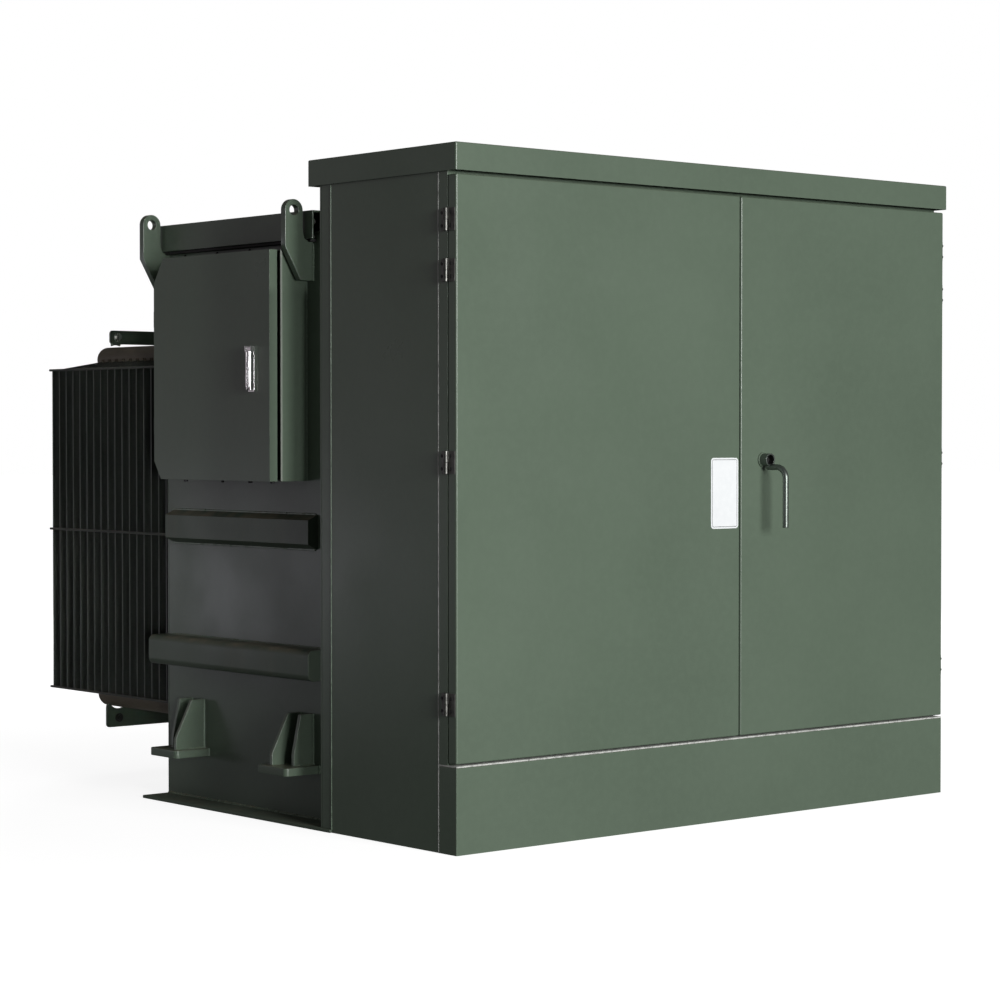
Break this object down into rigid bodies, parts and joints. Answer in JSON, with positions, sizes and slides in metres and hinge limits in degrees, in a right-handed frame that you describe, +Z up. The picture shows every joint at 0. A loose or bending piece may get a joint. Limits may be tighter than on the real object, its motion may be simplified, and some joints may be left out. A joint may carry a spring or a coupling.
{
  "type": "pad-mounted power transformer",
  "caption": "Green three-phase pad-mounted power transformer: front terminal cabinet with hinged doors, oil tank with lugs and control box, and plate radiators behind.",
  "frame": {"origin": "centre of the underside of the tank's base plate, on the ground", "axes": "+X to the right as seen from the cabinet doors, +Y from the doors towards the radiators, +Z up"},
  "size_m": [2.181, 2.606, 2],
  "materials": {
    "cabinet_paint": "satin",
    "tank_paint": "satin",
    "radiator_paint": "satin",
    "sill_strip": "matt",
    "worn_steel": "worn",
    "handle_steel": "satin",
    "chrome": "polished",
    "plate_paint": "satin",
    "bushing_resin": "satin",
    "bushing_metal": "plain",
    "inner_fill": "plain"
  },
  "bodies": {
    "root": {"active_part": "inner_fill", "cabinet_left_wall": "cabinet_paint", "cabinet_right_wall": "cabinet_paint", "cabinet_roof": "cabinet_paint", "centre_radiator_headers": "radiator_paint", "centre_radiator_panels": "radiator_paint", "control_box_body": "tank_paint", "cover_clamps": "tank_paint", "door_header": "cabinet_paint", "front_plate_flanges": "cabinet_paint", "front_sill": "cabinet_paint", "high_bushings": "bushing_resin", "left_door_post": "cabinet_paint", "left_frame_hinges": "worn_steel", "left_front_jacking_pad": "tank_paint", "left_front_lug": "tank_paint", "left_radiator_headers": "radiator_paint", "left_radiator_panels": "radiator_paint", "left_rear_jacking_pad": "tank_paint", "left_rear_lug": "tank_paint", "left_wall_stiffeners": "tank_paint", "low_bushings": "bushing_metal", "lower_tie_bar": "radiator_paint", "radiator_spacer_rods": "radiator_paint", "right_door_post": "cabinet_paint", "right_frame_hinges": "worn_steel", "right_front_jacking_pad": "tank_paint", "right_front_lug": "tank_paint", "right_radiator_headers": "radiator_paint", "right_radiator_panels": "radiator_paint", "right_rear_jacking_pad": "tank_paint", "right_rear_lug": "tank_paint", "right_wall_stiffeners": "tank_paint", "sill_gasket": "sill_strip", "tank_base_plate": "tank_paint", "tank_cover": "tank_paint", "tank_front_plate": "cabinet_paint", "tank_left_wall": "tank_paint", "tank_rear_wall": "tank_paint", "tank_right_wall": "tank_paint", "tank_top_plate": "tank_paint", "upper_tie_bar": "radiator_paint"},
    "left_door": {"left_door_panel": "cabinet_paint", "left_door_hinges": "worn_steel", "door_plate": "plate_paint"},
    "right_door": {"right_door_panel": "cabinet_paint", "right_door_hinges": "worn_steel"},
    "door_handle": {"door_handle": "handle_steel"},
    "box_door": {"box_door_panel": "tank_paint", "box_handle_base": "chrome"},
    "box_handle": {"box_handle": "chrome"}
  },
  "joints": [
    {"name": "left_door_hinge", "type": "hinge", "parent": "root", "child": "left_door", "pos_m": [-1.0455, -1.051, 1.105], "axis": [0, 0, -1], "range_deg": [0, 120]},
    {"name": "right_door_hinge", "type": "hinge", "parent": "root", "child": "right_door", "pos_m": [1.0455, -1.051, 1.105], "axis": [0, 0, 1], "range_deg": [0, 120]},
    {"name": "handle_turn", "type": "hinge", "parent": "right_door", "child": "door_handle", "pos_m": [0.1905, -1.0895, 1.105], "axis": [0, -1, 0], "range_deg": [0, 90]},
    {"name": "box_door_hinge", "type": "hinge", "parent": "root", "child": "box_door", "pos_m": [-1.05225, 0.3775, 1.38], "axis": [0, 0, -1], "range_deg": [0, 110]},
    {"name": "box_handle_lift", "type": "hinge", "parent": "box_door", "child": "box_handle", "pos_m": [-1.1, -0.1735, 1.4415], "axis": [0, 1, 0], "range_deg": [0, 40]}
  ]
}
